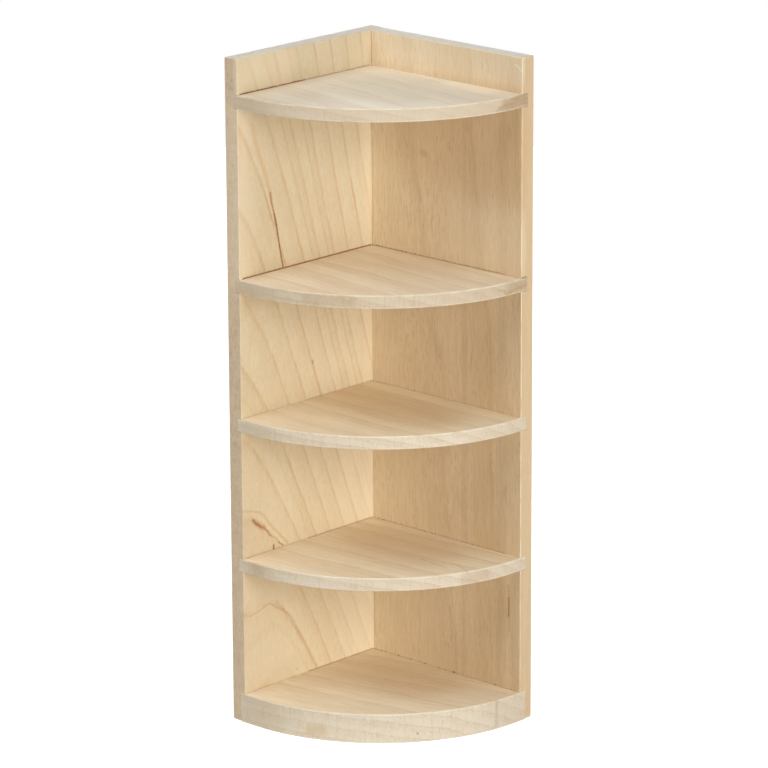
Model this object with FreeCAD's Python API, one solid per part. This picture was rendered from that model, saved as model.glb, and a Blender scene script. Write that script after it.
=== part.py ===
import FreeCAD, Part
import os

from FreeCAD import Vector

os.makedirs("parts", exist_ok=True)

# Doll's house corner shelf unit in plain basswood, at one twelfth of a tall room unit.
# Two boards stand upright and meet at the back corner, and five boards with round fronts
# are glued into grooves across their inner faces. The left panel stands at low X and the
# right panel at high Y, so the open side faces high X and low Y. Lengths are in millimetres.

# Upright panels
PANEL_THICKNESS = 4.0
LEFT_PANEL_WIDTH = 48.5
RIGHT_PANEL_WIDTH = 47.2

# Boards between the panels, and the straight run beside the nearer panel before the round front
SHELF_THICKNESS = 3.2
BASE_THICKNESS = 7.2
END_FLAT = 1.2

# Clear height of each bay from the floor up, and of the rim that stands above the top shelf
BOTTOM_BAY_HEIGHT = 30.2
LOWER_BAY_HEIGHT = 31.0
MIDDLE_BAY_HEIGHT = 30.2
UPPER_BAY_HEIGHT = 40.2
RIM_HEIGHT = 8.4

# Housed joints: how far the grooves go into each panel, the play above each board in its
# groove, and the glue between a board's edge and the groove's floor
LEFT_GROOVE_DEPTH_SHARE = 0.35
RIGHT_GROOVE_DEPTH_SHARE = 0.5
GROOVE_PLAY = 0.2
GLUE_LINE = 0.05

# Sanding: the arrises of every board, and the corner where a panel's front edge meets the floor
EDGE_ROUND = 0.35
FOOT_ROUND = 0.8

# Cuts run past the faces that they open by this much
CUT_OVERRUN = 1.0

# Two places nearer to each other than this are the same place
SAME_PLACE = 0.0001

# The panels' faces and front edges, with the unit centred on its own footprint
left_outer_x = -(PANEL_THICKNESS + RIGHT_PANEL_WIDTH) / 2
left_inner_x = left_outer_x + PANEL_THICKNESS
right_front_x = left_inner_x + RIGHT_PANEL_WIDTH
right_outer_y = LEFT_PANEL_WIDTH / 2
right_inner_y = right_outer_y - PANEL_THICKNESS
left_front_y = right_outer_y - LEFT_PANEL_WIDTH

# The floors of the grooves, and the board edges that stop a glue line short of them
left_groove_x = left_inner_x - PANEL_THICKNESS * LEFT_GROOVE_DEPTH_SHARE
right_groove_y = right_inner_y + PANEL_THICKNESS * RIGHT_GROOVE_DEPTH_SHARE
board_left_x = left_groove_x + GLUE_LINE
board_back_y = right_groove_y - GLUE_LINE

# The boards from the floor up, each with its underside and its top
bays_below = {
    "lower_shelf": BOTTOM_BAY_HEIGHT,
    "middle_shelf": LOWER_BAY_HEIGHT,
    "upper_shelf": MIDDLE_BAY_HEIGHT,
    "top_shelf": UPPER_BAY_HEIGHT,
}
board_levels = {"base_shelf": (0, BASE_THICKNESS)}
bay_floor = BASE_THICKNESS
for shelf_name, bay_height in bays_below.items():
    underside = bay_floor + bay_height
    bay_floor = underside + SHELF_THICKNESS
    board_levels[shelf_name] = (underside, bay_floor)
panel_height = bay_floor + RIM_HEIGHT


def same(place, other):
    return abs(place - other) < SAME_PLACE


def edges_where(shape, wanted):
    """The edges of a shape whose centres pass a test."""
    return [edge for edge in shape.Edges if wanted(edge.CenterOfMass)]


def box_between(low, high):
    """A box between its lowest and highest corners."""
    size = high - low
    return Part.makeBox(size.x, size.y, size.z, low)


def groove_cutters(low_x, high_x, low_y, high_y):
    """One cutter for each board in a panel. The base's runs out through the foot, as a rabbet."""
    cutters = []
    for underside, top in board_levels.values():
        groove_floor = underside if underside > 0 else -CUT_OVERRUN
        low = Vector(low_x, low_y, groove_floor)
        high = Vector(high_x, high_y, top + GROOVE_PLAY)
        cutters.append(box_between(low, high))
    return cutters


def make_left_panel():
    """The panel that runs through to the back corner. Its grooves stop where the boards end."""
    low = Vector(left_outer_x, left_front_y, 0)
    high = Vector(left_inner_x, right_outer_y, panel_height)
    middle = (low + high) / 2
    panel = box_between(low, high)
    foot_corner = edges_where(panel, lambda at: same(at.y, left_front_y) and same(at.z, 0))
    panel = panel.makeFillet(FOOT_ROUND, foot_corner)

    # The back corner stays sharp on the inside, where it lies flush with the right panel
    def is_arris(at):
        top_front = same(at.y, left_front_y) and same(at.z, panel_height)
        along_face = not same(at.x, middle.x)
        in_joint = same(at.x, left_inner_x) and same(at.y, right_outer_y)
        return top_front or along_face and not in_joint

    panel = panel.makeFillet(EDGE_ROUND, edges_where(panel, is_arris))
    cutters = groove_cutters(left_groove_x, left_inner_x + CUT_OVERRUN,
                             left_front_y - CUT_OVERRUN, right_groove_y)
    return panel.cut(cutters)


def make_right_panel():
    """The panel whose end is glued to the left panel's inner face, grooved right across."""
    low = Vector(left_inner_x, right_inner_y, 0)
    high = Vector(right_front_x, right_outer_y, panel_height)
    middle = (low + high) / 2
    panel = box_between(low, high)
    foot_corner = edges_where(panel, lambda at: same(at.x, right_front_x) and same(at.z, 0))
    panel = panel.makeFillet(FOOT_ROUND, foot_corner)

    # The glued end stays sharp
    def is_arris(at):
        top_front = same(at.x, right_front_x) and same(at.z, panel_height)
        along_face = not same(at.y, middle.y)
        in_joint = same(at.x, left_inner_x)
        return top_front or along_face and not in_joint

    panel = panel.makeFillet(EDGE_ROUND, edges_where(panel, is_arris))
    cutters = groove_cutters(left_inner_x - CUT_OVERRUN, right_front_x + CUT_OVERRUN,
                             right_inner_y - CUT_OVERRUN, right_groove_y)
    return panel.cut(cutters)


def make_board(underside, top):
    """A board whose front sweeps in one arc from flush with one panel to flush with the other."""
    front_radius = min(right_inner_y - left_front_y, right_front_x - left_inner_x) - END_FLAT
    arc_centre = Vector(right_front_x - front_radius, left_front_y + front_radius, underside)
    arc_start = arc_centre + Vector(front_radius, 0, 0)
    arc_middle = arc_centre + Vector(1, -1, 0).normalize() * front_radius
    arc_end = arc_centre + Vector(0, -front_radius, 0)
    left_end = Vector(board_left_x, left_front_y, underside)
    back_corner = Vector(board_left_x, board_back_y, underside)
    right_end = Vector(right_front_x, board_back_y, underside)
    outline = Part.Wire([
        Part.makeLine(right_end, arc_start),
        Part.Arc(arc_start, arc_middle, arc_end).toShape(),
        Part.makeLine(arc_end, left_end),
        Part.makeLine(left_end, back_corner),
        Part.makeLine(back_corner, right_end),
    ])
    board = Part.Face(outline).extrude(Vector(0, 0, top - underside))

    # Only the front is eased, because the other edges sit in the grooves
    def is_front_arris(at):
        in_groove = same(at.x, board_left_x) or same(at.y, board_back_y)
        on_a_face = same(at.z, underside) or same(at.z, top)
        return on_a_face and not in_groove

    return board.makeFillet(EDGE_ROUND, edges_where(board, is_front_arris))


pieces = {"left_panel": make_left_panel(), "right_panel": make_right_panel()}
for board_name, (underside, top) in board_levels.items():
    pieces[board_name] = make_board(underside, top)

for piece_name, shape in pieces.items():
    shape.exportStep("parts/" + piece_name + ".step")
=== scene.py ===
import math

import bmesh
import bpy
from mathutils import Euler, Matrix, Vector, noise


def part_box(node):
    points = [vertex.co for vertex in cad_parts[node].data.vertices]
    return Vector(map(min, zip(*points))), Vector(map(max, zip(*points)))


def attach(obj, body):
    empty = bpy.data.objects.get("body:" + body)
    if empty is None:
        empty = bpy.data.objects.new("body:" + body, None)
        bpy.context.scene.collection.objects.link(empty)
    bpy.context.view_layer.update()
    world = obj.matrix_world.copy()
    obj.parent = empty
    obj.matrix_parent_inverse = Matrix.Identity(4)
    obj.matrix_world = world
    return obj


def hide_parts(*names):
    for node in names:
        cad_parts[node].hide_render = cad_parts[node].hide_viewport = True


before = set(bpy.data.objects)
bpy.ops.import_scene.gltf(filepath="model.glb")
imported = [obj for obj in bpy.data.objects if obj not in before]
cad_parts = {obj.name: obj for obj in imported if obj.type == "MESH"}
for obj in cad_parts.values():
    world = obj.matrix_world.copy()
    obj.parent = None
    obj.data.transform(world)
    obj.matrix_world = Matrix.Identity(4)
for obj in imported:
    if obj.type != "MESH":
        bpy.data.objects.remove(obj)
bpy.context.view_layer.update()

# Left panel
# A flat-sawn basswood board that stands upright and runs through to the back corner. It is planed, left
# bare, and grooved across its inner face for the shelves. Its arrises are broken with sandpaper.

MM = 0.001
BOARDS = ("base_shelf", "lower_shelf", "middle_shelf", "upper_shelf", "top_shelf")
GROOVE_PLAY = 0.2 * MM
GLUE_LINE = 0.05 * MM
PANEL_ARRIS = 0.18 * MM
ARRIS_SEGMENTS = 3
FOOT_ROUND = 0.8 * MM
FOOT_SEGMENTS = 6
NEAR = 0.001 * MM
CRISP_ANGLE = math.radians(35)


def cut_at(mesh, point, normal):
    """Scores the whole mesh along a plane."""
    everything = mesh.verts[:] + mesh.edges[:] + mesh.faces[:]
    bmesh.ops.bisect_plane(mesh, geom=everything, plane_co=point, plane_no=normal)


def raise_faces(mesh, faces, height):
    """Extrudes faces straight up and gives back the raised ones."""
    edges = {edge for face in faces for edge in face.edges}
    corners = {corner for face in faces for corner in face.verts}
    raised = bmesh.ops.extrude_face_region(mesh, geom=[*corners, *edges, *faces])["geom"]
    lifted = [part for part in raised if isinstance(part, bmesh.types.BMVert)]
    bmesh.ops.translate(mesh, verts=lifted, vec=(0, 0, height))
    return [part for part in raised if isinstance(part, bmesh.types.BMFace)]


def mark_faces(mesh, faces, name):
    """Gives faces a named mark for the material to find."""
    layer = mesh.loops.layers.float.get(name) or mesh.loops.layers.float.new(name)
    for face in faces:
        for corner in face.loops:
            corner[layer] = 1.0


def ease(mesh, edges, radius, segments=ARRIS_SEGMENTS):
    """Rounds edges as sandpaper does."""
    made = bmesh.ops.bevel(mesh, geom=edges, offset=radius, offset_type="OFFSET", affect="EDGES",
                           segments=segments, profile=0.5, material=-1, clamp_overlap=True)
    mark_faces(mesh, made["faces"], "sanded")


def finished_piece(mesh, name):
    """Turns a bmesh into an object whose flat faces stay flat beside their rounded arrises."""
    bmesh.ops.recalc_face_normals(mesh, faces=mesh.faces[:])
    for face in mesh.faces:
        face.smooth = True
    for edge in mesh.edges:
        edge.smooth = edge.calc_face_angle(0) < CRISP_ANGLE
    data = bpy.data.meshes.new(name)
    mesh.to_mesh(data)
    mesh.free()
    piece = bpy.data.objects.new(name, data)
    bpy.context.scene.collection.objects.link(piece)
    flats = piece.modifiers.new("flat_faces", "WEIGHTED_NORMAL")
    flats.keep_sharp = True
    return piece


def groove_levels():
    """Floor and roof of every groove, from the boards that sit in them."""
    boxes = [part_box(board) for board in BOARDS]
    return [(low.z, high.z + GROOVE_PLAY) for low, high in boxes]


LIP_STEP = 0.4 * MM
CLOSED_FRONT = 1.0 * MM
CLOSED_SHARE = 0.9
LOWEST_SHARE = 0.95
RIPPLES_PER_MM = 0.35
CHIPS_PER_MM = 1.7
CHIP_SEED = 5.0
CHIP_LEVEL = 0.15


def wear_lips(mesh, width, thickness, groove_start, gaps):
    """Lifts or lowers each groove's upper lip, so that the dark line over a shelf opens, closes and tears."""
    for row, (board, (_, roof)) in enumerate(zip(BOARDS, groove_levels())):
        back_gap, front_gap, torn, broken = gaps[board]
        for corner in mesh.verts:
            if abs(corner.co.y - roof) > NEAR or corner.co.x < groove_start + NEAR:
                continue
            along = corner.co.x / width
            closed = min(1.0, max(0.0, (corner.co.x - width + CLOSED_FRONT) / CLOSED_FRONT))
            drop = GROOVE_PLAY * CLOSED_SHARE * closed
            if corner.co.z > thickness - NEAR and corner.co.x < width - NEAR:
                ripple = noise.noise(Vector((corner.co.x / MM * RIPPLES_PER_MM, row, 0.0)))
                chip = noise.noise(Vector((corner.co.x / MM * CHIPS_PER_MM, row, CHIP_SEED)))
                gap = (back_gap + (front_gap - back_gap) * along) * (1 + broken * ripple)
                gap += torn * max(0.0, chip - CHIP_LEVEL)
                lift = (gap - GROOVE_PLAY) * (1 - closed) - drop
                corner.co.y += max(lift, -LOWEST_SHARE * GROOVE_PLAY)
            else:
                corner.co.y -= drop


def grooved_panel(name, place, width, thickness, height, groove_depth, groove_start, gaps, through):
    """An upright board, made lying on its outer face: x from the back corner forwards, y up, z inwards."""
    mesh = bmesh.new()
    sheet = Matrix.Translation((width / 2, height / 2, 0)) @ Matrix.Diagonal((width, height, 1, 1))
    bmesh.ops.create_grid(mesh, x_segments=1, y_segments=1, size=0.5, matrix=sheet)
    levels = groove_levels()
    for floor, roof in levels:
        cut_at(mesh, (0, floor, 0), (0, 1, 0))
        cut_at(mesh, (0, roof, 0), (0, 1, 0))
    if groove_start > 0:
        cut_at(mesh, (groove_start, 0, 0), (1, 0, 0))

    def in_groove(at, margin=0.0):
        rows = any(floor - margin < at.y < roof + margin for floor, roof in levels)
        return rows and at.x > groove_start - margin

    floors = raise_faces(mesh, mesh.faces[:], thickness - groove_depth)
    lands = [face for face in floors if not in_groove(face.calc_center_median())]
    raise_faces(mesh, lands, groove_depth)

    def at_foot_corner(edge):
        return all(corner.co.x > width - NEAR and corner.co.y < NEAR for corner in edge.verts)

    ease(mesh, [edge for edge in mesh.edges if at_foot_corner(edge)], FOOT_ROUND, FOOT_SEGMENTS)

    def is_arris(edge):
        middle = (edge.verts[0].co + edge.verts[1].co) / 2
        outer = all(corner.co.z < NEAR for corner in edge.verts)
        inner = all(corner.co.z > thickness - NEAR for corner in edge.verts)
        top = middle.y > height - NEAR
        front = middle.x > width - FOOT_ROUND
        back = middle.x < NEAR
        if edge.calc_face_angle(0) < 2 * CRISP_ANGLE:
            return False
        if outer:
            return top or front or middle.y < FOOT_ROUND or (back and through)
        if inner:
            return top or middle.x > width - NEAR or (back and not through)
        return top and middle.x > width - NEAR

    ease(mesh, [edge for edge in mesh.edges if is_arris(edge)], PANEL_ARRIS)

    def runs_across(edge):
        return abs(edge.verts[0].co.x - edge.verts[1].co.x) > width / 2

    runs = [edge for edge in mesh.edges if runs_across(edge)]
    bmesh.ops.subdivide_edges(mesh, edges=runs, cuts=round(width / LIP_STEP), use_grid_fill=True)

    def is_groove_wall(face):
        at = face.calc_center_median()
        inside = thickness - groove_depth - NEAR < at.z < thickness - NEAR
        return inside and in_groove(at, NEAR) and at.x < width - CLOSED_FRONT

    mark_faces(mesh, [face for face in mesh.faces if is_groove_wall(face)], "groove")
    wear_lips(mesh, width, thickness, groove_start, gaps)
    mesh.transform(place)
    return finished_piece(mesh, name)


left_low, left_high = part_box("left_panel")
right_low, right_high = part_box("right_panel")
board_low, board_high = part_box("top_shelf")
panel_height = left_high.z
left_place = Matrix(((0, 0, 1, left_low.x), (-1, 0, 0, left_high.y), (0, 1, 0, 0), (0, 0, 0, 1)))
# Over each board: the gap at the back and at the front, how deep the lip is torn, and how uneven the gap is
left_gaps = {
    "base_shelf": (0.03 * MM, 0.02 * MM, 0.10 * MM, 0.8),
    "lower_shelf": (0.02 * MM, 0.02 * MM, 0.10 * MM, 1.0),
    "middle_shelf": (0.02 * MM, 0.02 * MM, 0.05 * MM, 0.8),
    "upper_shelf": (0.05 * MM, 0.05 * MM, 0.12 * MM, 0.5),
    "top_shelf": (0.02 * MM, 0.06 * MM, 0.40 * MM, 0.9),
}
left_panel = grooved_panel(
    "left_panel_board", left_place,
    width=left_high.y - left_low.y, thickness=left_high.x - left_low.x, height=panel_height,
    groove_depth=left_high.x - board_low.x + GLUE_LINE,
    groove_start=left_high.y - board_high.y - GLUE_LINE, gaps=left_gaps, through=True)


def shader_node(tree, kind, feeds=None, **options):
    """Adds a node, sets its options, and feeds its inputs with sockets or plain values."""
    node = tree.nodes.new("ShaderNode" + kind)
    for option, value in options.items():
        setattr(node, option, value)
    for socket, value in (feeds or {}).items():
        if isinstance(value, bpy.types.NodeSocket):
            tree.links.new(value, node.inputs[socket])
        else:
            node.inputs[socket].default_value = value
    return node


def maths(tree, operation, *values):
    """The result of a sum on plain values."""
    return shader_node(tree, "Math", dict(enumerate(values)), operation=operation).outputs[0]


def vectors(tree, operation, *values):
    """The result of a sum on vectors."""
    return shader_node(tree, "VectorMath", dict(enumerate(values)), operation=operation).outputs[0]


def length(tree, vector):
    """How long a vector is."""
    return shader_node(tree, "VectorMath", {0: vector}, operation="LENGTH").outputs["Value"]


def dot(tree, first, second):
    """How far one vector goes along another."""
    return shader_node(tree, "VectorMath", {0: first, 1: second}, operation="DOT_PRODUCT").outputs["Value"]


def scaled(tree, vector, factor):
    """A vector or colour times a plain value."""
    return shader_node(tree, "VectorMath", {0: vector, "Scale": factor}, operation="SCALE").outputs[0]


def smooth_step(tree, value, low, high, to_low=0.0, to_high=1.0):
    """Goes smoothly from one value to another, as the given value goes from low to high."""
    feeds = {"Value": value, "From Min": low, "From Max": high, "To Min": to_low, "To Max": to_high}
    node = shader_node(tree, "MapRange", feeds, interpolation_type="SMOOTHSTEP", clamp=False)
    return node.outputs["Result"]


def cloud(tree, place, per_mm, detail=2.0, roughness=0.5):
    """Noise with its own fineness along each axis, in waves per millimetre."""
    stretched = vectors(tree, "MULTIPLY", place, per_mm)
    feeds = {"Vector": stretched, "Scale": 1.0, "Detail": detail, "Roughness": roughness}
    return shader_node(tree, "TexNoise", feeds)


def swing(tree, place, per_mm, detail=2.0, roughness=0.5):
    """The same noise, about zero."""
    return maths(tree, "SUBTRACT", cloud(tree, place, per_mm, detail, roughness).outputs[0], 0.5)


def hump(tree, value, start, peak, end):
    """Rises smoothly from start to peak and falls again to the end."""
    rise = smooth_step(tree, value, start, peak)
    fall = smooth_step(tree, value, peak, end, 1.0, 0.0)
    return maths(tree, "MULTIPLY", rise, fall)


def colour_mix(tree, factor, first, second, **options):
    """Blends two colours, each a socket or four numbers."""
    node = shader_node(tree, "Mix", {"Factor": factor}, data_type="RGBA", **options)
    colour_inputs = [socket for socket in node.inputs if socket.type == "RGBA"]
    for socket, colour in zip(colour_inputs, (first, second)):
        if isinstance(colour, bpy.types.NodeSocket):
            tree.links.new(colour, socket)
        else:
            socket.default_value = colour
    return next(socket for socket in node.outputs if socket.type == "RGBA")


def new_group(name, inputs, outputs):
    """An empty shader group with named sockets, and its own input and output sockets."""
    tree = bpy.data.node_groups.new(name, "ShaderNodeTree")
    for socket, (kind, value) in inputs.items():
        made = tree.interface.new_socket(socket, in_out="INPUT", socket_type="NodeSocket" + kind)
        made.default_value = value
    for socket, kind in outputs.items():
        tree.interface.new_socket(socket, in_out="OUTPUT", socket_type="NodeSocket" + kind)
    return tree, tree.nodes.new("NodeGroupInput").outputs, tree.nodes.new("NodeGroupOutput").inputs


def make_basswood():
    """Solid wood by its place in the trunk, in millimetres from the pith with z along the trunk."""
    tree, given, result = new_group(
        "basswood",
        {"Log Place": ("Vector", (0, 0, 0)), "Ring Spacing": ("Float", 4.0), "Ring Offset": ("Float", 0.0),
         "Sweep": ("Float", 0.0), "Lopsided": ("Float", 1.0), "Wander": ("Float", 1.0),
         "Rings": ("Float", 1.0), "Bands": ("Float", 1.0), "Streaks": ("Float", 1.0),
         "Fibres": ("Float", 1.0), "Flecks": ("Float", 1.0), "Mottle": ("Float", 1.0),
         "Earlywood": ("Color", (0.75, 0.58, 0.36, 1)), "Latewood": ("Color", (0.6, 0.4, 0.2, 1))},
        {"Color": "Color", "Ring": "Float", "Roughness": "Float", "Height": "Float"})
    place = given["Log Place"]

    # The trunk is swept along its length and grows faster on one side, and its rings wander
    axes = shader_node(tree, "SeparateXYZ", {0: place}).outputs
    drift = cloud(tree, place, per_mm=(0.10, 0.10, 0.03), detail=1.0).outputs["Color"]
    drift = vectors(tree, "SUBTRACT", drift, (0.5, 0.5, 0.5))
    drift = shader_node(tree, "SeparateXYZ", {0: scaled(tree, drift, given["Wander"])}).outputs
    bend = maths(tree, "MULTIPLY", maths(tree, "MULTIPLY", axes[2], axes[2]), given["Sweep"])
    across = maths(tree, "ADD", maths(tree, "ADD", axes[1], bend), drift[1])
    across = maths(tree, "MAXIMUM", across, maths(tree, "MULTIPLY", across, given["Lopsided"]))
    aside = maths(tree, "ADD", axes[0], drift[0])
    section = shader_node(tree, "CombineXYZ", {0: aside, 1: across}).outputs[0]
    jitter_mm = 0.5
    jitter = swing(tree, place, per_mm=(1.6, 1.6, 0.22))
    radius = maths(tree, "MULTIPLY_ADD", jitter, jitter_mm, length(tree, section))

    # Each year ends in a thin dark line, some years have a second one, and the line fades in places
    rings = maths(tree, "ADD", maths(tree, "DIVIDE", radius, given["Ring Spacing"]), given["Ring Offset"])
    phase = maths(tree, "FRACT", rings)
    count = maths(tree, "FLOOR", rings)
    year = shader_node(tree, "TexWhiteNoise", {"W": count}, noise_dimensions="1D").outputs
    breaks = cloud(tree, place, per_mm=(0.3, 0.3, 0.08), detail=3.0).outputs[0]
    breaks = smooth_step(tree, breaks, low=0.3, high=0.65, to_low=0.35)
    year_strength = smooth_step(tree, year["Value"], low=0.0, high=1.0, to_low=0.45)
    strength = maths(tree, "MULTIPLY", breaks, year_strength)
    line = maths(tree, "MULTIPLY", hump(tree, phase, start=0.78, peak=0.92, end=1.0), strength)
    false_year = smooth_step(tree, year["Color"], low=0.45, high=0.8, to_high=0.45)
    false_line = hump(tree, phase, start=0.40, peak=0.50, end=0.62)
    line = maths(tree, "MULTIPLY_ADD", false_line, false_year, line)
    shade = hump(tree, phase, start=0.10, peak=0.92, end=1.0)
    late = maths(tree, "MULTIPLY", line, given["Rings"])
    late = maths(tree, "MULTIPLY_ADD", shade, given["Bands"], late)
    late = maths(tree, "MULTIPLY", late, smooth_step(tree, radius, low=1.5, high=5.0))

    # Fibres, flecks and patches run along the trunk
    streaks = swing(tree, place, per_mm=(1.1, 1.1, 0.03), detail=4.0, roughness=0.6)
    fibres = swing(tree, place, per_mm=(4.0, 4.0, 0.2), detail=3.0, roughness=0.65)
    grain = maths(tree, "MULTIPLY", fibres, given["Fibres"])
    grain = maths(tree, "MULTIPLY_ADD", streaks, given["Streaks"], grain)
    crowd = cloud(tree, place, per_mm=(0.25, 0.25, 0.06)).outputs[0]
    crowd = smooth_step(tree, crowd, low=0.35, high=0.65, to_low=0.3)
    dashes = cloud(tree, place, per_mm=(3.6, 3.6, 0.5), detail=1.0).outputs[0]
    dashes = smooth_step(tree, dashes, low=0.54, high=0.70)
    fleck = maths(tree, "MULTIPLY", maths(tree, "MULTIPLY", dashes, crowd), given["Flecks"])
    patches = swing(tree, place, per_mm=(0.11, 0.11, 0.035), detail=3.0)
    patches = maths(tree, "MULTIPLY", patches, given["Mottle"])
    for part in (grain, fleck, patches):
        late = maths(tree, "ADD", late, part)
    colour = colour_mix(tree, late, given["Earlywood"], given["Latewood"],
                        clamp_factor=False, clamp_result=True)
    tree.links.new(colour, result["Color"])

    line_share = 0.6
    shade_share = 0.5
    mean_roughness = 0.62
    roughness_swing = 0.25
    fleck_depth = 0.5
    ring = maths(tree, "MULTIPLY_ADD", line, line_share, maths(tree, "MULTIPLY", shade, shade_share))
    tree.links.new(ring, result["Ring"])
    roughness = maths(tree, "MULTIPLY_ADD", fibres, roughness_swing, mean_roughness)
    tree.links.new(roughness, result["Roughness"])
    height = maths(tree, "SUBTRACT", fibres, maths(tree, "MULTIPLY", fleck, fleck_depth))
    tree.links.new(height, result["Height"])
    return tree


basswood = make_basswood()
SAW_BURN = (0.26, 0.10, 0.035, 1)
SANDED_PALE = (0.86, 0.77, 0.60, 1)
FACE_SHARPNESS = 4.0
PATCH_SHARE = 0.6
WARM_GREEN_SHARE = -0.45
GRAIN_DEPTH = 0.06 * MM
GRAIN_STRENGTH = 0.3
BARE_WOOD_GLOSS = 0.3


def wood_material(name, pith, trunk, face, early, late, edge, edge_share, worn, worn_share, edge_rings,
                  grit, scuffs, sanded_share, end, end_share, painted_light_slope=(0, 0, 0), painted_warmth_slope=(0, 0, 0), **traits):
    """Bare basswood, sawn from its own place in the trunk. The trunk runs through the pith, face is the way
    that the board's broad sides look, and the two slopes before the traits paint light and shade into the
    colour: how fast it grows lighter and gains warmth along each axis, as the light and its warm bounce fall
    on the board."""
    material = bpy.data.materials.new(name)
    material.use_nodes = True
    tree = material.node_tree
    shader = tree.nodes["Principled BSDF"]
    coords = shader_node(tree, "TexCoord").outputs
    place = scaled(tree, coords["Object"], 1 / MM)
    place.node.name = "place_in_mm"
    turn = Vector(trunk).rotation_difference(Vector((0, 0, 1)))
    shift = -(turn @ Vector(pith))
    mapping = {"Vector": place, "Location": shift, "Rotation": turn.to_euler()}
    log = shader_node(tree, "Mapping", mapping).outputs[0]
    feeds = {"Log Place": log, "Earlywood": early, "Latewood": late}
    wood = shader_node(tree, "Group", feeds, node_tree=basswood)
    for trait, value in traits.items():
        wood.inputs[trait.replace("_", " ").title()].default_value = value

    # Sawn edges are rougher and dirtier than the planed faces, and end grain is darker
    facing = maths(tree, "ABSOLUTE", dot(tree, coords["Normal"], face))
    broad = maths(tree, "POWER", facing, FACE_SHARPNESS)
    on_edge = maths(tree, "MULTIPLY_ADD", broad, -edge_share, edge_share)
    on_edge.node.name = "edge_mask"
    facing_end = maths(tree, "ABSOLUTE", dot(tree, coords["Normal"], Vector(trunk).normalized()))
    on_end = maths(tree, "MULTIPLY", smooth_step(tree, facing_end, low=0.90, high=0.965), end_share)
    patches = cloud(tree, place, per_mm=(0.22, 0.22, 0.5), detail=3.0).outputs[0]
    patches = smooth_step(tree, patches, low=0.38, high=0.68)
    scratches = smooth_step(tree, cloud(tree, place, scuffs).outputs[0], low=0.48, high=0.72)
    dirt = maths(tree, "MULTIPLY_ADD", patches, PATCH_SHARE, scratches)
    dirt = maths(tree, "MULTIPLY", dirt, worn_share)
    specks = swing(tree, place, per_mm=(2.8, 2.8, 2.0), roughness=0.7)
    dirt = maths(tree, "MULTIPLY_ADD", specks, grit, dirt)
    dirt = maths(tree, "MULTIPLY_ADD", wood.outputs["Ring"], edge_rings, dirt)

    # Painted light and shade: the colour grows slowly lighter or darker, and gains or loses warmth, along the
    # board, as the light and its warm bounce fall
    toned = scaled(tree, wood.outputs["Color"], maths(tree, "ADD", dot(tree, place, painted_light_slope), 1.0))
    warmth = dot(tree, place, painted_warmth_slope)
    green = maths(tree, "MULTIPLY_ADD", warmth, WARM_GREEN_SHARE, 1.0)
    blue = maths(tree, "SUBTRACT", 1.0, warmth)
    tint = shader_node(tree, "CombineXYZ", {0: 1.0, 1: green, 2: blue}).outputs[0]
    toned = vectors(tree, "MULTIPLY", toned, tint)
    colour = colour_mix(tree, on_edge, toned, colour_mix(tree, dirt, edge, worn))
    colour = colour_mix(tree, on_end, colour, end)

    # Sandpaper leaves the arrises pale, partly real and partly a painted highlight of the light they catch,
    # and the saw leaves the grooves brown
    sanded = shader_node(tree, "Attribute", attribute_name="sanded").outputs["Fac"]
    rubbed_and_highlit = cloud(tree, place, per_mm=(0.4, 0.4, 0.25)).outputs[0]
    rubbed_and_highlit = smooth_step(tree, rubbed_and_highlit, low=0.32, high=0.66, to_low=0.25, to_high=1.25)
    rubbed_and_highlit = maths(tree, "MULTIPLY", rubbed_and_highlit, sanded_share)
    colour = colour_mix(tree, maths(tree, "MULTIPLY", sanded, rubbed_and_highlit), colour, SANDED_PALE)
    groove = shader_node(tree, "Attribute", attribute_name="groove").outputs["Fac"]
    colour = colour_mix(tree, groove, colour, SAW_BURN)
    relief = {"Height": wood.outputs["Height"], "Strength": GRAIN_STRENGTH, "Distance": GRAIN_DEPTH}
    bump = shader_node(tree, "Bump", relief)
    tree.links.new(colour, shader.inputs["Base Color"])
    roughness = maths(tree, "MAXIMUM", wood.outputs["Roughness"], groove)
    tree.links.new(roughness, shader.inputs["Roughness"])
    tree.links.new(bump.outputs[0], shader.inputs["Normal"])
    shader.inputs["Specular IOR Level"].default_value = BARE_WOOD_GLOSS
    return material


EVEN_FINENESS = (1.4, 1.4, 1.4)
RIGHT_THROUGH = (1, 1, 1)


def make_streak():
    """Mask of a ragged streak between two places in millimetres."""
    tree, given, result = new_group(
        "streak",
        {"Place": ("Vector", (0, 0, 0)), "Start": ("Vector", (0, 0, 0)), "End": ("Vector", (0, 0, 0)),
         "Width": ("Float", 1.0), "Softness": ("Float", 1.0), "Raggedness": ("Float", 0.3),
         "Fineness": ("Vector", EVEN_FINENESS), "Shallowness": ("Vector", RIGHT_THROUGH)},
        {"Mask": "Float"})
    run = vectors(tree, "SUBTRACT", given["End"], given["Start"])
    away = vectors(tree, "SUBTRACT", given["Place"], given["Start"])
    away = vectors(tree, "MULTIPLY", away, given["Shallowness"])
    share = maths(tree, "DIVIDE", dot(tree, away, run), dot(tree, run, run))
    share = shader_node(tree, "Clamp", {"Value": share}).outputs[0]
    distance = length(tree, vectors(tree, "SUBTRACT", away, scaled(tree, run, share)))
    ragged = swing(tree, given["Place"], given["Fineness"], detail=3.0)
    distance = maths(tree, "MULTIPLY_ADD", ragged, given["Raggedness"], distance)
    core = maths(tree, "MULTIPLY", given["Width"], 0.5)
    mask = smooth_step(tree, distance, core, maths(tree, "ADD", core, given["Softness"]), 1.0, 0.0)
    tree.links.new(mask, result["Mask"])
    return tree


streak = make_streak()


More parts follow.
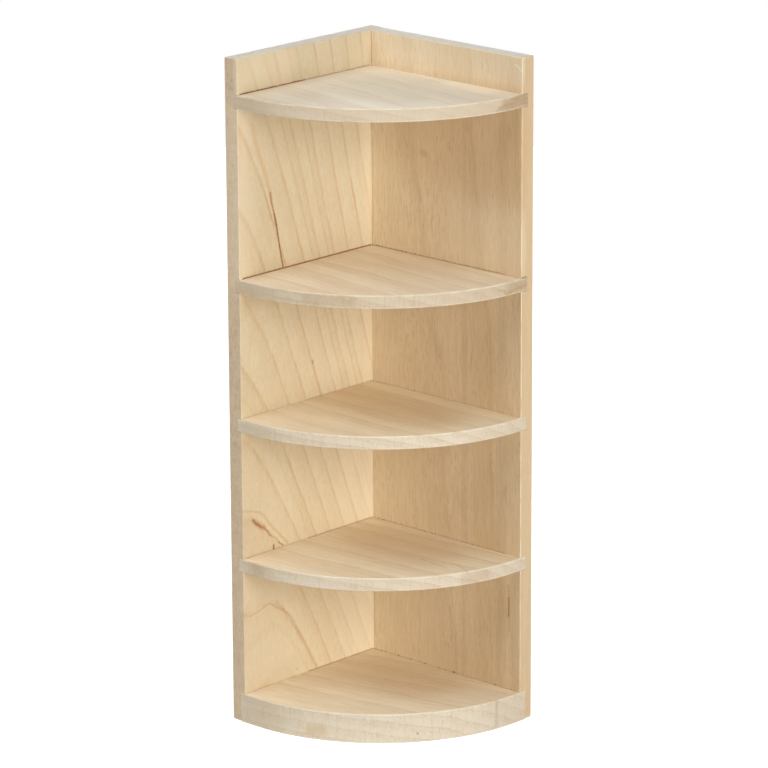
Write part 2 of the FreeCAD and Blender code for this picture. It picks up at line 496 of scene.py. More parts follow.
def stain(material, path, colour, strength, width, softness, raggedness=0.3, edges_only=False,
          fineness=EVEN_FINENESS, shallowness=RIGHT_THROUGH):
    """Draws a streak through places in millimetres, over the colour that the wood already has. Shallowness
    counts the distance along an axis several times, so that a wide streak doesn't show through a board."""
    tree = material.node_tree
    surface = tree.nodes["Principled BSDF"].inputs["Base Color"]
    place = tree.nodes["place_in_mm"].outputs[0]
    mask = None
    for start, end in zip(path, path[1:] or path):
        feeds = {"Place": place, "Start": start, "End": end, "Width": width, "Softness": softness,
                 "Raggedness": raggedness, "Fineness": fineness, "Shallowness": shallowness}
        part = shader_node(tree, "Group", feeds, node_tree=streak).outputs["Mask"]
        mask = part if mask is None else maths(tree, "MAXIMUM", mask, part)
    if edges_only:
        mask = maths(tree, "MULTIPLY", mask, tree.nodes["edge_mask"].outputs[0])
    under = surface.links[0].from_socket
    tree.links.new(colour_mix(tree, maths(tree, "MULTIPLY", mask, strength), under, colour), surface)


def left_path(*places):
    """Places on the left panel's inner face, each given by its distance from the front and its height in
    millimetres."""
    face = left_high.x / MM
    front = left_low.y / MM
    return [Vector((face, front + from_front, height)) for from_front, height in places]


# Its tone slopes paint shade: the board is made darker towards the top, lighter towards the back corner, and
# warmer towards the front.
left_wood = wood_material(
    "left_panel_basswood", pith=(2.3, -29.4, 80.0), trunk=(0.191, -0.158, 0.969), face=(1, 0, 0),
    early=(0.765, 0.635, 0.425, 1), late=(0.62, 0.42, 0.215, 1),
    edge=(0.64, 0.49, 0.33, 1), edge_share=0.85, edge_rings=0.1,
    worn=(0.45, 0.35, 0.245, 1), worn_share=0.6, grit=2.2, scuffs=(2.5, 2.5, 0.8), sanded_share=0.12,
    end=(0.52, 0.475, 0.395, 1), end_share=0.85, painted_light_slope=(0, 0.0022, -0.0013), painted_warmth_slope=(0, -0.0018, 0),
    ring_spacing=3.95, ring_offset=16.46, sweep=-0.00114, lopsided=0.3, wander=0.8, rings=0.68, bands=0.17,
    streaks=0.5, fibres=1.0, flecks=0.2, mottle=0.5)

CRACK = (0.25, 0.10, 0.03, 1)
KNOT = (0.38, 0.19, 0.07, 1)
KNOT_ORANGE = (0.55, 0.27, 0.08, 1)
RING_TAN = (0.56, 0.34, 0.15, 1)
ring_over_crack = left_path((4.6, 144), (6.9, 136.2), (8.6, 132.2), (10.4, 126.9))
stain(left_wood, ring_over_crack, RING_TAN, strength=0.45, width=0.5, softness=0.7, raggedness=0.7)
crack_halo = left_path((10.4, 126.9), (12.3, 118.9), (14.4, 108.2))
stain(left_wood, crack_halo, KNOT_ORANGE, strength=0.22, width=0.25, softness=0.5)
crack_head = left_path((10.4, 126.9), (10.7, 124.7), (11.6, 121.7))
stain(left_wood, crack_head, KNOT, strength=0.8, width=0.14, softness=0.4, raggedness=0.5)
crack_middle = left_path((11.6, 121.7), (12.3, 118.9))
stain(left_wood, crack_middle, CRACK, strength=0.9, width=0.2, softness=0.35)
crack_tail = left_path((12.3, 118.9), (13.1, 114.5), (14.4, 108.2))
stain(left_wood, crack_tail, CRACK, strength=0.9, width=0.1, softness=0.3)

knot_halo = left_path((3.6, 49.2), (5.7, 47.4), (7.0, 46.8))
stain(left_wood, knot_halo, KNOT_ORANGE, strength=0.6, width=0.5, softness=0.8, raggedness=0.8)
knot_core = left_path((3.3, 49.5), (4.6, 48.3), (5.9, 47.3))
stain(left_wood, knot_core, CRACK, strength=0.9, width=0.25, softness=0.4, raggedness=0.6)
knot_tail = left_path((5.9, 47.3), (7.0, 46.9), (8.1, 45.7), (9.0, 44.5))
stain(left_wood, knot_tail, KNOT, strength=0.75, width=0.12, softness=0.4, raggedness=0.6)
knot_thread = left_path((9.0, 44.5), (10.9, 43.4), (12.0, 42.0))
stain(left_wood, knot_thread, KNOT, strength=0.35, width=0.1, softness=0.4, raggedness=0.6)
knot_end = left_path((12.0, 42.0), (13.3, 41.0))
stain(left_wood, knot_end, CRACK, strength=0.6, width=0.1, softness=0.35)
knot_splinter = left_path((10.2, 41.7), (10.2, 40.7))
stain(left_wood, knot_splinter, CRACK, strength=0.95, width=0.2, softness=0.35)
ring_over_knot = left_path((0, 52.4), (3.5, 51.6), (5.6, 50.9), (7.0, 49.8),
                           (8.3, 48.1), (9.8, 46.3), (12.0, 44.2), (14.9, 41.2))
stain(left_wood, ring_over_knot, RING_TAN, strength=0.45, width=0.15, softness=0.5, raggedness=0.5)

PALE_WOOD = (0.70, 0.575, 0.385, 1)
over_arch = left_path((4.0, 30.3), (9.8, 29.4))
stain(left_wood, over_arch, PALE_WOOD, strength=0.8, width=1.6, softness=1.8)
left_of_arch = left_path((0.5, 28.6), (3.0, 28.4))
stain(left_wood, left_of_arch, PALE_WOOD, strength=0.7, width=1.2, softness=1.5)
right_of_arch = left_path((10.6, 29.4), (12.4, 27.2))
stain(left_wood, right_of_arch, PALE_WOOD, strength=0.6, width=0.8, softness=1.2)
under_arch = left_path((9.5, 10.2), (16.5, 10.2))
stain(left_wood, under_arch, PALE_WOOD, strength=0.7, width=2.5, softness=2.5)
arch = left_path((0, 26.8), (2.1, 26.1), (5.4, 26.7), (7.3, 27.5), (8.6, 27.7),
                 (10.7, 26.3), (12.9, 25.1), (14.4, 23.9))
stain(left_wood, arch, RING_TAN, strength=0.5, width=0.12, softness=0.45, raggedness=0.5)
arch_limb = left_path((14.4, 23.9), (16.2, 22.2), (19.4, 16.9), (24.4, 8.1))
stain(left_wood, arch_limb, RING_TAN, strength=0.35, width=0.08, softness=0.45, raggedness=0.5)
faint_dash = left_path((3.8, 115), (4.1, 112))
stain(left_wood, faint_dash, RING_TAN, strength=0.3, width=0.2, softness=0.6)
brown_fleck = left_path((24.0, 84.0), (24.0, 83.4))
stain(left_wood, brown_fleck, KNOT, strength=0.5, width=0.1, softness=0.4)
dark_dot = left_path((17.5, 9.0))
stain(left_wood, dark_dot, CRACK, strength=0.5, width=0.1, softness=0.3)

# Painted light and shade: the rim above the top shelf, the front of the upper bay, the back corner and the
# back of the lower bays are made paler, where more light falls, and the front of the lower bays darker, where
# less falls.
PAINTED_LIGHT_CREAM = (0.90, 0.75, 0.53, 1)
SHADE_TAN = (0.60, 0.46, 0.30, 1)
PAINTED_BACK_LIGHT = (0.84, 0.73, 0.54, 1)
LEFT_SKIN = (5, 1, 1)
rim_front = left_path((0, 157), (14, 157))
stain(left_wood, rim_front, PAINTED_LIGHT_CREAM, strength=0.35, width=5.0, softness=7.0, shallowness=LEFT_SKIN)
rim_back = left_path((27, 157), (44, 157))
stain(left_wood, rim_back, PAINTED_LIGHT_CREAM, strength=0.15, width=5.0, softness=5.0, shallowness=LEFT_SKIN)
back_corner = left_path((44, 146), (44, 8))
stain(left_wood, back_corner, PAINTED_LIGHT_CREAM, strength=0.3, width=1.0, softness=3.5)
low_front = left_path((2, 64), (2, 10))
stain(left_wood, low_front, SHADE_TAN, strength=0.2, width=4.0, softness=6.0)
high_front = left_path((0, 146), (0, 110))
stain(left_wood, high_front, PAINTED_LIGHT_CREAM, strength=0.3, width=2.0, softness=7.0, raggedness=3.0)
low_back = left_path((41, 64), (41, 10))
stain(left_wood, low_back, PAINTED_BACK_LIGHT, strength=0.32, width=8.0, softness=10.0, raggedness=3.0)

LIP_BROWN = (0.30, 0.095, 0.02, 1)
LIP_RISE = 0.1
LIP_SOFTNESS = 0.25
LEFT_LIP_FRONT = 1.2
LEFT_LIP_MIDDLE = 22.0
LEFT_LIP_BACK = 44.0
WIDE_BURN = 0.18


def burnt_lip(material, board, path_on_panel, start, end, strength, raggedness=0.3, width=0.08):
    """The brown line that the saw burnt along the upper lip of a groove."""
    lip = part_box(board)[1].z / MM + LIP_RISE
    stain(material, path_on_panel((start, lip), (end, lip)), LIP_BROWN, strength, width,
          softness=LIP_SOFTNESS, raggedness=raggedness)


# Over each board: how strong the burn is in the front half and in the back half
left_burns = {"base_shelf": (0.15, 0.5), "lower_shelf": (0.15, 0.45), "middle_shelf": (0.05, 0.3),
              "upper_shelf": (0.9, 0.9)}
for board, (front_burn, back_burn) in left_burns.items():
    burnt_lip(left_wood, board, left_path, LEFT_LIP_FRONT, LEFT_LIP_MIDDLE, front_burn, width=WIDE_BURN)
    burnt_lip(left_wood, board, left_path, LEFT_LIP_MIDDLE, LEFT_LIP_BACK, back_burn, width=WIDE_BURN)
burnt_lip(left_wood, "top_shelf", left_path, LEFT_LIP_FRONT, LEFT_LIP_MIDDLE,
          strength=0.95, raggedness=0.6, width=0.13)
burnt_lip(left_wood, "top_shelf", left_path, LEFT_LIP_MIDDLE, LEFT_LIP_BACK, strength=0.35)


def fasten(piece, material, node):
    """Gives a board its wood and puts it in the place of its solid."""
    piece.data.materials.append(material)
    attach(piece, "root")
    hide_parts(node)


fasten(left_panel, left_wood, "left_panel")

# Right panel
# A quarter-sawn board of the same wood, glued by its end to the left panel's inner face and grooved right
# across. Its grain is fine and straight, and its groove lips are torn in places.

right_place = Matrix(((1, 0, 0, right_low.x), (0, 0, -1, right_high.y), (0, 1, 0, 0), (0, 0, 0, 1)))
right_gaps = {
    "base_shelf": (0.02 * MM, 0.02 * MM, 0.80 * MM, 1.2),
    "lower_shelf": (0.02 * MM, 0.02 * MM, 0.30 * MM, 1.4),
    "middle_shelf": (0.02 * MM, 0.02 * MM, 0.10 * MM, 1.0),
    "upper_shelf": (0.04 * MM, 0.02 * MM, 0.30 * MM, 1.2),
    "top_shelf": (0.01 * MM, 0.01 * MM, 0.10 * MM, 1.0),
}
right_panel = grooved_panel(
    "right_panel_board", right_place,
    width=right_high.x - right_low.x, thickness=right_high.y - right_low.y, height=panel_height,
    groove_depth=board_high.y - right_low.y + GLUE_LINE, groove_start=0.0, gaps=right_gaps, through=False)


def right_path(*places):
    """Places on the right panel's inner face, each given by its distance from the corner and its height in
    millimetres."""
    corner = right_low.x / MM
    face = right_low.y / MM
    return [Vector((corner + from_corner, face, height)) for from_corner, height in places]


# Its tone slopes paint shade: the board is made darker and warmer towards the front, and a little darker
# towards the top.
right_wood = wood_material(
    "right_panel_basswood", pith=(-30.0, 140.0, 80.0), trunk=(-0.026, 0.017, 1.0), face=(0, 1, 0),
    early=(0.845, 0.67, 0.445, 1), late=(0.61, 0.405, 0.21, 1),
    edge=(0.62, 0.46, 0.27, 1), edge_share=0.7, edge_rings=0.15,
    worn=(0.60, 0.42, 0.23, 1), worn_share=0.4, grit=1.2, scuffs=(3.0, 3.0, 0.5), sanded_share=0.5,
    end=(0.55, 0.52, 0.445, 1), end_share=0.85, painted_light_slope=(-0.0050, 0, -0.0005), painted_warmth_slope=(0.0050, 0, 0),
    ring_spacing=5.0, ring_offset=0.3, wander=3.0, rings=0.2, bands=0.15,
    streaks=0.4, fibres=1.3, flecks=0.45, mottle=0.5)

STREAK_BROWN = (0.42, 0.19, 0.08, 1)
BAND_BROWN = (0.50, 0.32, 0.17, 1)
BAND_GOLD = (0.62, 0.42, 0.17, 1)
smudge = right_path((16.2, 133), (17.3, 133))
stain(right_wood, smudge, STREAK_BROWN, strength=0.28, width=0.6, softness=1.1)
high_dash = right_path((24.8, 137), (24.8, 135))
stain(right_wood, high_dash, STREAK_BROWN, strength=0.3, width=0.1, softness=0.4)
low_dash = right_path((43.6, 30.0), (43.6, 25.5))
stain(right_wood, low_dash, STREAK_BROWN, strength=0.7, width=0.12, softness=0.4)
low_dash_ends = right_path((43.6, 33.0), (43.7, 22.0))
stain(right_wood, low_dash_ends, STREAK_BROWN, strength=0.25, width=0.1, softness=0.5)
front_band = right_path((41.3, 148), (41.3, 7))
stain(right_wood, front_band, BAND_BROWN, strength=0.22, width=1.0, softness=2.0, raggedness=2.5)
middle_band = right_path((29.5, 148), (29.5, 7))
stain(right_wood, middle_band, BAND_BROWN, strength=0.18, width=0.4, softness=1.2, raggedness=1.5)
golden_band = right_path((36, 100), (36, 8))
stain(right_wood, golden_band, BAND_GOLD, strength=0.17, width=3.0, softness=4.0, raggedness=3.0)
over_top_shelf = right_path((2.0, 152), (46.0, 152))
stain(right_wood, over_top_shelf, BAND_BROWN, strength=0.15, width=0.3, softness=1.6, raggedness=1.0)

# Painted light and shade: the rim above the top shelf is made paler and greyer, as under cool light from
# above, and the panel over the upper shelf paler. The back corner and the band under the top shelf are made
# darker, where shade falls.
COOL_LIGHT_GREY = (0.75, 0.68, 0.53, 1)
SHADE_BROWN = (0.62, 0.36, 0.15, 1)
RIGHT_SKIN = (1, 5, 1)
rim_front = right_path((16, 157.5), (47, 157.5))
stain(right_wood, rim_front, PAINTED_LIGHT_CREAM, strength=0.2, width=4.0, softness=5.0, shallowness=RIGHT_SKIN)
whole_rim = right_path((0, 157.5), (47, 157.5))
stain(right_wood, whole_rim, COOL_LIGHT_GREY, strength=0.2, width=5.0, softness=4.0, shallowness=RIGHT_SKIN)
over_upper_shelf = right_path((30, 116), (46, 116))
stain(right_wood, over_upper_shelf, PAINTED_LIGHT_CREAM, strength=0.25, width=8.0, softness=8.0,
      shallowness=RIGHT_SKIN)
back_corner = right_path((3, 98), (3, 10))
stain(right_wood, back_corner, SHADE_TAN, strength=0.15, width=4.0, softness=6.0)
under_top_shelf = right_path((16, 138), (47, 138))
stain(right_wood, under_top_shelf, SHADE_BROWN, strength=0.25, width=12.0, softness=12.0, raggedness=4.0,
      shallowness=RIGHT_SKIN)

RIGHT_LIP_BACK = 0.2
RIGHT_LIP_FRONT = 42.0
right_burns = {"base_shelf": 0.1, "lower_shelf": 0.2, "middle_shelf": 0.1, "upper_shelf": 0.45}
for board, burn in right_burns.items():
    burnt_lip(right_wood, board, right_path, RIGHT_LIP_BACK, RIGHT_LIP_FRONT, burn, raggedness=0.9)

NICK_ENDS = (0.25, 1.55)
nick_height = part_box("upper_shelf")[1].z / MM + LIP_RISE
nick = [Vector((right_high.x / MM, right_low.y / MM + depth, nick_height)) for depth in NICK_ENDS]
stain(right_wood, nick, CRACK, strength=0.8, width=0.1, softness=0.35)
low_front = right_path((45.6, 36), (45.6, 8))
stain(right_wood, low_front, BAND_BROWN, strength=0.28, width=1.0, softness=2.0, raggedness=1.5)
pale_fleck = right_path((12.3, 18.5), (12.3, 17.5))
stain(right_wood, pale_fleck, SANDED_PALE, strength=0.5, width=0.2, softness=0.4)
pale_scratch = right_path((45.0, 158.1), (46.0, 157.8), (46.8, 157.0))
stain(right_wood, pale_scratch, SANDED_PALE, strength=0.5, width=0.12, softness=0.4)
fasten(right_panel, right_wood, "right_panel")

# Shelves and base
# Five boards sawn to one outline with a round front, their grain running along the right panel. Each is
# pushed into its grooves with glue, and its front is sanded by hand.

END_FLAT = 1.2 * MM
SHELF_ARRIS = 0.3 * MM
ARC_STEPS = 96
LEVEL = 0.99
SANDING_UNEVENNESS = 0.06 * MM
SANDING_WAVES = 9
SANDING_NICKS = 40
MEAN_SHARE = 0.5
WAVE_SHARE = 0.5
NICK_SHARE = 0.25
SANDING_SEED = 3.7
front_reach = min(right_low.y - left_low.y, right_high.x - left_high.x) - END_FLAT
front_centre = Vector((board_high.x - front_reach, board_low.y + front_reach, 0))


def round_front_board(name, node):
    """A board whose front sweeps in one arc from flush with one panel to flush with the other."""
    low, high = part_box(node)
    seed = SANDING_SEED * BOARDS.index(node)
    centre = front_centre + Vector((0, 0, low.z))
    mesh = bmesh.new()
    first = mesh.verts.new(centre + Vector((front_reach, 0, 0)))
    bmesh.ops.spin(mesh, geom=[first], cent=centre, axis=(0, 0, -1), angle=math.pi / 2, steps=ARC_STEPS)
    for corner in mesh.verts:
        outward = (corner.co - centre).normalized()
        waves = noise.noise(Vector((outward.x * SANDING_WAVES, outward.y * SANDING_WAVES, seed)))
        nicks = noise.noise(Vector((outward.x * SANDING_NICKS, outward.y * SANDING_NICKS, seed)))
        taken = max(0.0, MEAN_SHARE + WAVE_SHARE * waves + NICK_SHARE * nicks)
        corner.co -= outward * SANDING_UNEVENNESS * taken
    ends = [corner for corner in mesh.verts if len(corner.link_edges) == 1]
    ends.sort(key=lambda end: -end.co.x)
    outline = [ends[0]]
    for x, y in ((high.x, high.y), (low.x, high.y), (low.x, low.y)):
        outline.append(mesh.verts.new((x, y, low.z)))
    outline.append(ends[1])
    for start, end in zip(outline, outline[1:]):
        mesh.edges.new((start, end))
    bmesh.ops.contextual_create(mesh, geom=mesh.edges[:])
    raise_faces(mesh, mesh.faces[:], high.z - low.z)

    def is_front_arris(edge):
        level = abs(edge.verts[0].co.z - edge.verts[1].co.z) < NEAR
        at_left = all(corner.co.x < low.x + NEAR for corner in edge.verts)
        at_back = all(corner.co.y > high.y - NEAR for corner in edge.verts)
        return level and not at_left and not at_back

    ease(mesh, [edge for edge in mesh.edges if is_front_arris(edge)], SHELF_ARRIS)
    cut_at(mesh, (left_high.x, 0, 0), (1, 0, 0))
    cut_at(mesh, (0, right_low.y, 0), (0, 1, 0))
    mesh.normal_update()

    def is_housed(face):
        at = face.calc_center_median()
        return abs(face.normal.z) > LEVEL and (at.x < left_high.x or at.y > right_low.y)

    mark_faces(mesh, [face for face in mesh.faces if is_housed(face)], "groove")
    return finished_piece(mesh, name)


PITH_FRONT = -45.0
PITH_DEPTH = 111.0
RING_SHIFT = 0.37


def shelf_wood(node, slope, **looks):
    """The wood of one board, whose grain slopes by some degrees to the right panel."""
    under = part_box(node)[0].z / MM
    angle = math.radians(slope)
    shared = {
        "pith": (0.0, PITH_FRONT, under - PITH_DEPTH), "trunk": (math.cos(angle), math.sin(angle), 0),
        "face": (0, 0, 1), "edge": (0.66, 0.58, 0.455, 1), "edge_share": 0.8, "edge_rings": 0.6,
        "worn": (0.52, 0.40, 0.265, 1), "worn_share": 0.35, "grit": 1.6, "scuffs": (1.8, 1.8, 0.2),
        "sanded_share": 0.45, "end": (0.55, 0.41, 0.27, 1), "end_share": 0.2,
        "ring_spacing": 2.8, "ring_offset": RING_SHIFT * BOARDS.index(node), "wander": 2.0,
        "rings": 0.16, "bands": 0.2, "streaks": 0.75, "fibres": 1.0, "flecks": 0.2, "mottle": 0.8,
    }
    return wood_material(node + "_basswood", **{**shared, **looks})


def top_path(node, *places):
    """Places on a board's top, each given by its distances from the left and right panels' inner faces in
    millimetres."""
    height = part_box(node)[1].z / MM
    corner_x = left_high.x / MM
    corner_y = right_low.y / MM
    return [Vector((corner_x + from_left, corner_y - from_right, height)) for from_left, from_right in places]


def front_path(*places):
    """Places on the round front, each given by its angle in degrees, from the right panel to the left one,
    and its height in millimetres."""
    path = []
    for degrees, height in places:
        angle = math.radians(degrees)
        outward = Vector((math.cos(angle), -math.sin(angle), 0))
        path.append((front_centre + outward * front_reach) / MM + Vector((0, 0, height)))
    return path


def front_patch(wood, node, from_degrees, to_degrees, colour, strength, width, softness, raggedness=1.5,
                fineness=EVEN_FINENESS):
    """A patch of other tone on a board's round front, half way up it."""
    low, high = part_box(node)
    middle = (low.z + high.z) / 2 / MM
    stain(wood, front_path((from_degrees, middle), (to_degrees, middle)),
          colour, strength, width, softness, raggedness, edges_only=True, fineness=fineness)


# Painted shade for the left end of each round front
LEFT_SHADE_GREY = (0.57, 0.445, 0.30, 1)
GREY_FROM = 90
GREY_TO = 88


def shaded_left_end(wood, node, strength, width=4.0, softness=5.0, raggedness=3.0):
    """Painted shade: the cool grey where a board's front turns away from the light as it runs out into the
    left panel's edge.
    """
    front_patch(wood, node, GREY_FROM, GREY_TO, LEFT_SHADE_GREY, strength, width, softness, raggedness)


# Painted shade for the back of each shelf top, under the board above
BACK_SHADE_BROWN = (0.60, 0.39, 0.19, 1)


def shaded_back(wood, node, start, end, from_right, strength):
    """Painted shade: the back half of a board's top made browner, where the board above shades it."""
    stain(wood, top_path(node, (start, from_right), (end, from_right)),
          BACK_SHADE_BROWN, strength, width=6.0, softness=11.0, raggedness=6.0)


WARM_CREAM = (0.86, 0.735, 0.54, 1)
WARM_TAN = (0.62, 0.44, 0.26, 1)
PATCH_TAN = (0.58, 0.40, 0.21, 1)
base_wood = shelf_wood("base_shelf", slope=11, early=WARM_CREAM, late=WARM_TAN,
                       edge=(0.673, 0.597, 0.473, 1), edge_rings=0.4)
shaded_left_end(base_wood, "base_shelf", strength=0.4, width=6.0, softness=7.0, raggedness=4.0)
shaded_back(base_wood, "base_shelf", start=8, end=26, from_right=10, strength=0.36)
saw_mark = front_path((8.6, 6.9), (8.6, 1.0))
stain(base_wood, saw_mark, CRACK, strength=0.2, width=0.1, softness=0.7, raggedness=1.0)
front_dot = front_path((36, 2.2))
stain(base_wood, front_dot, CRACK, strength=0.6, width=0.15, softness=0.35)
tan_patch = front_path((70, 2.0), (66, 2.4))
stain(base_wood, tan_patch, PATCH_TAN, strength=0.5, width=0.2, softness=2.0, raggedness=3.0)
fasten(round_front_board("base_board", "base_shelf"), base_wood, "base_shelf")

END_BROWN = (0.40, 0.26, 0.13, 1)
SLIVER_TAN = (0.46, 0.26, 0.11, 1)
lower_wood = shelf_wood("lower_shelf", slope=5, early=WARM_CREAM, late=WARM_TAN)
shaded_left_end(lower_wood, "lower_shelf", strength=0.5)
front_patch(lower_wood, "lower_shelf", from_degrees=90, to_degrees=88, colour=END_BROWN, strength=0.35,
            width=0.8, softness=2.0)
front_patch(lower_wood, "lower_shelf", from_degrees=20, to_degrees=13, colour=END_BROWN, strength=0.4,
            width=0.8, softness=2.0, raggedness=2.0)
shaded_back(lower_wood, "lower_shelf", start=10, end=28, from_right=12, strength=0.36)
near_sliver = top_path("lower_shelf", (30.5, 16.1), (35.0, 16.7), (38.9, 16.8))
stain(lower_wood, near_sliver, SLIVER_TAN, strength=0.3, width=0.05, softness=0.45, raggedness=0.6)
far_sliver = top_path("lower_shelf", (37.7, 13.7), (39.1, 13.5), (42.0, 14.5), (45.8, 16.3))
stain(lower_wood, far_sliver, SLIVER_TAN, strength=0.25, width=0.05, softness=0.5, raggedness=0.6)
fasten(round_front_board("lower_board", "lower_shelf"), lower_wood, "lower_shelf")

middle_wood = shelf_wood("middle_shelf", slope=0, early=(0.85, 0.72, 0.52, 1), late=WARM_TAN)
shaded_back(middle_wood, "middle_shelf", start=6, end=31, from_right=14, strength=0.42)
shaded_left_end(middle_wood, "middle_shelf", strength=0.4)
fasten(round_front_board("middle_board", "middle_shelf"), middle_wood, "middle_shelf")

END_TAN = (0.46, 0.28, 0.13, 1)
LEVEL_STREAKS = (0.5, 0.5, 2.5)
LEVEL_PATCHES = (0.9, 0.9, 2.2)
upper_wood = shelf_wood("upper_shelf", slope=-5, early=(0.85, 0.73, 0.555, 1), late=(0.63, 0.45, 0.27, 1),
                        edge=(0.545, 0.46, 0.33, 1), worn=(0.46, 0.34, 0.22, 1), worn_share=0.5)
shaded_left_end(upper_wood, "upper_shelf", strength=0.6)
front_patch(upper_wood, "upper_shelf", from_degrees=70, to_degrees=56, colour=END_BROWN, strength=0.45,
            width=0.6, softness=1.8, raggedness=3.0, fineness=LEVEL_PATCHES)
front_patch(upper_wood, "upper_shelf", from_degrees=3, to_degrees=-3, colour=END_BROWN, strength=0.6,
            width=0.6, softness=2.4, raggedness=3.0)
tan_streak = front_path((8.5, 106.9), (5.5, 106.2))
stain(upper_wood, tan_streak, END_TAN, strength=0.5, width=0.1, softness=0.6, raggedness=1.0,
      edges_only=True, fineness=LEVEL_STREAKS)
brown_streak = front_path((5, 105.5), (-4, 106.6))
stain(upper_wood, brown_streak, END_BROWN, strength=0.6, width=0.15, softness=0.6, raggedness=1.2,
      edges_only=True, fineness=LEVEL_STREAKS)
fasten(round_front_board("upper_board", "upper_shelf"), upper_wood, "upper_shelf")

TOP_PALE = (0.97, 0.85, 0.67, 1)
TOP_TAN = (0.60, 0.47, 0.30, 1)
top_wood = shelf_wood("top_shelf", slope=-7, early=(0.835, 0.735, 0.576, 1), late=(0.64, 0.52, 0.36, 1),
                      edge=(0.575, 0.477, 0.345, 1), worn=(0.51, 0.39, 0.26, 1), worn_share=0.4)
# Painted light and shade: the top is made paler beside the left and right panels and darker in the middle, as
# the light falls on it.
pale_left = top_path("top_shelf", (3, 8), (3, 28))
stain(top_wood, pale_left, TOP_PALE, strength=0.4, width=2.0, softness=7.0, raggedness=2.0)
pale_right = top_path("top_shelf", (28, 3), (38, 3))
stain(top_wood, pale_right, TOP_PALE, strength=0.4, width=2.0, softness=5.0, raggedness=2.0)
tan_middle = top_path("top_shelf", (22, 24), (30, 22))
stain(top_wood, tan_middle, TOP_TAN, strength=0.3, width=4.0, softness=7.0, raggedness=3.0)
shaded_left_end(top_wood, "top_shelf", strength=0.6)
front_patch(top_wood, "top_shelf", from_degrees=5, to_degrees=-3, colour=END_BROWN, strength=0.75,
            width=0.4, softness=2.6, raggedness=3.0)
end_streaks = (
    (front_path((9, 149.0), (-4, 149.4)), 0.6),
    (front_path((8, 149.6), (-4, 150.5)), 0.7),
    (front_path((3, 151.0), (-4, 151.3)), 0.8),
)
for path, strength in end_streaks:
    stain(top_wood, path, END_BROWN, strength, width=0.2, softness=0.5, raggedness=1.2,
          edges_only=True, fineness=LEVEL_STREAKS)
fasten(round_front_board("top_board", "top_shelf"), top_wood, "top_shelf")

# Floor
# A wide white sheet that the unit stands on. It takes the unit's shadow, and where it is seen it glows, so
# that it runs into the white of the room.

FLOOR_RADIUS = 0.6
FLOOR_SEGMENTS = 96
FLOOR_WHITE = (0.85, 0.85, 0.85, 1)
FLOOR_SHADE = (0.5, 0.5, 0.5, 1)
FLOOR_GLOW = 0.9
WHITE = (1, 1, 1, 1)
floor_mesh = bmesh.new()
bmesh.ops.create_circle(floor_mesh, cap_ends=True, segments=FLOOR_SEGMENTS, radius=FLOOR_RADIUS)
floor = finished_piece(floor_mesh, "floor")
floor_white = bpy.data.materials.new("floor_white")
floor_white.use_nodes = True
floor_tree = floor_white.node_tree
floor_tree.nodes.clear()


def seen_directly(tree):
    """1 for what the camera sees, straight or in a reflection."""
    path = shader_node(tree, "LightPath").outputs
    mirrored = maths(tree, "MAXIMUM", path["Is Glossy Ray"], path["Is Transmission Ray"])
    return maths(tree, "MAXIMUM", path["Is Camera Ray"], mirrored)


def blend_where_seen(tree, unseen, seen):
    """One shader for the light that a surface gives to others, and another for what is seen of it."""
    feeds = {0: seen_directly(tree), 1: unseen.outputs[0], 2: seen.outputs[0]}
    return shader_node(tree, "MixShader", feeds).outputs[0]


plain_floor = shader_node(floor_tree, "BsdfDiffuse", {"Color": FLOOR_WHITE})
shaded_floor = shader_node(floor_tree, "BsdfDiffuse", {"Color": FLOOR_SHADE})
glow = shader_node(floor_tree, "Emission", {"Color": WHITE, "Strength": FLOOR_GLOW})
seen_floor = shader_node(floor_tree, "AddShader", {0: shaded_floor.outputs[0], 1: glow.outputs[0]})
floor_surface = blend_where_seen(floor_tree, plain_floor, seen_floor)
shader_node(floor_tree, "OutputMaterial", {"Surface": floor_surface})
floor.data.materials.append(floor_white)

# Room and lamps
# A dim white room with a broad soft lamp low on the right, which shines in under the shelves. A lamp in front
# and a slightly cooler one overhead light the fronts and tops, and one low behind lights the outer faces.

ROOM_LIGHT = 0.04
world = bpy.data.worlds.new("white_room")
bpy.context.scene.world = world
world.use_nodes = True
room_tree = world.node_tree
room_tree.nodes.clear()
dim_room = shader_node(room_tree, "Background", {"Color": WHITE, "Strength": ROOM_LIGHT})
white_room = shader_node(room_tree, "Background", {"Color": WHITE, "Strength": 1.0})
room_surface = blend_where_seen(room_tree, dim_room, white_room)
shader_node(room_tree, "OutputWorld", {"Surface": room_surface})

LAMP_DISTANCE = 1.0
NEUTRAL = (1, 1, 1)
COOL = (0.92, 0.97, 1)


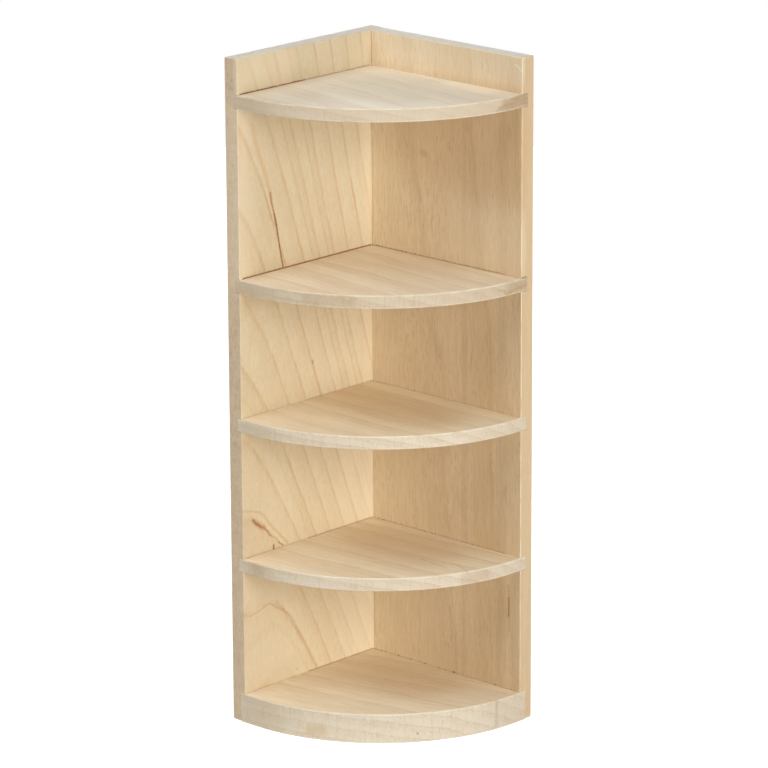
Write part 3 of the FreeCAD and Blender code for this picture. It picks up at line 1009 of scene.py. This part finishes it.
def soft_lamp(name, azimuth, elevation, size, watts, colour=NEUTRAL):
    """A square lamp that looks at the middle of the unit. Azimuth 0 is the -Y side and 90 the +X side."""
    data = bpy.data.lights.new(name, "AREA")
    data.shape = "SQUARE"
    data.size = size
    data.energy = watts
    data.color = colour
    lamp = bpy.data.objects.new(name, data)
    lamp.visible_camera = False
    bpy.context.scene.collection.objects.link(lamp)
    aim = Vector((0, 0, panel_height / 2))
    turn = Euler((math.pi / 2 - math.radians(elevation), 0, math.radians(azimuth))).to_matrix()
    lamp.matrix_world = Matrix.Translation(aim + turn @ Vector((0, 0, LAMP_DISTANCE))) @ turn.to_4x4()


soft_lamp("key_lamp", azimuth=75, elevation=11, size=0.7, watts=8.75)
soft_lamp("front_lamp", azimuth=-15, elevation=51, size=1.0, watts=6.5)
soft_lamp("top_lamp", azimuth=43, elevation=80, size=0.7, watts=1.2, colour=COOL)
soft_lamp("back_lamp", azimuth=225, elevation=8, size=0.7, watts=7.0)

# Camera
# A long lens a little above the unit, looking into the corner. The unit nearly fills the height of the
# picture.

CAMERA_AZIMUTH = 43.18
CAMERA_ELEVATION = 16.0
CAMERA_ROLL = -0.26
CAMERA_DISTANCE = 1.083
CAMERA_AIM = (0.0006, 0.0005, 0.0824)
CAMERA_LENS = 218.7
CAMERA_SENSOR = 36.0
camera_data = bpy.data.cameras.new("camera")
camera_data.lens = CAMERA_LENS
camera_data.sensor_width = CAMERA_SENSOR
camera = bpy.data.objects.new("camera", camera_data)
bpy.context.scene.collection.objects.link(camera)
camera_turn = Euler((math.radians(90 - CAMERA_ELEVATION), 0, math.radians(CAMERA_AZIMUTH))).to_matrix()
camera_turn = camera_turn @ Matrix.Rotation(math.radians(CAMERA_ROLL), 3, "Z")
camera_place = Vector(CAMERA_AIM) + camera_turn @ Vector((0, 0, CAMERA_DISTANCE))
camera.matrix_world = Matrix.Translation(camera_place) @ camera_turn.to_4x4()
bpy.context.scene.camera = camera
bpy.context.scene.view_settings.view_transform = "Standard"
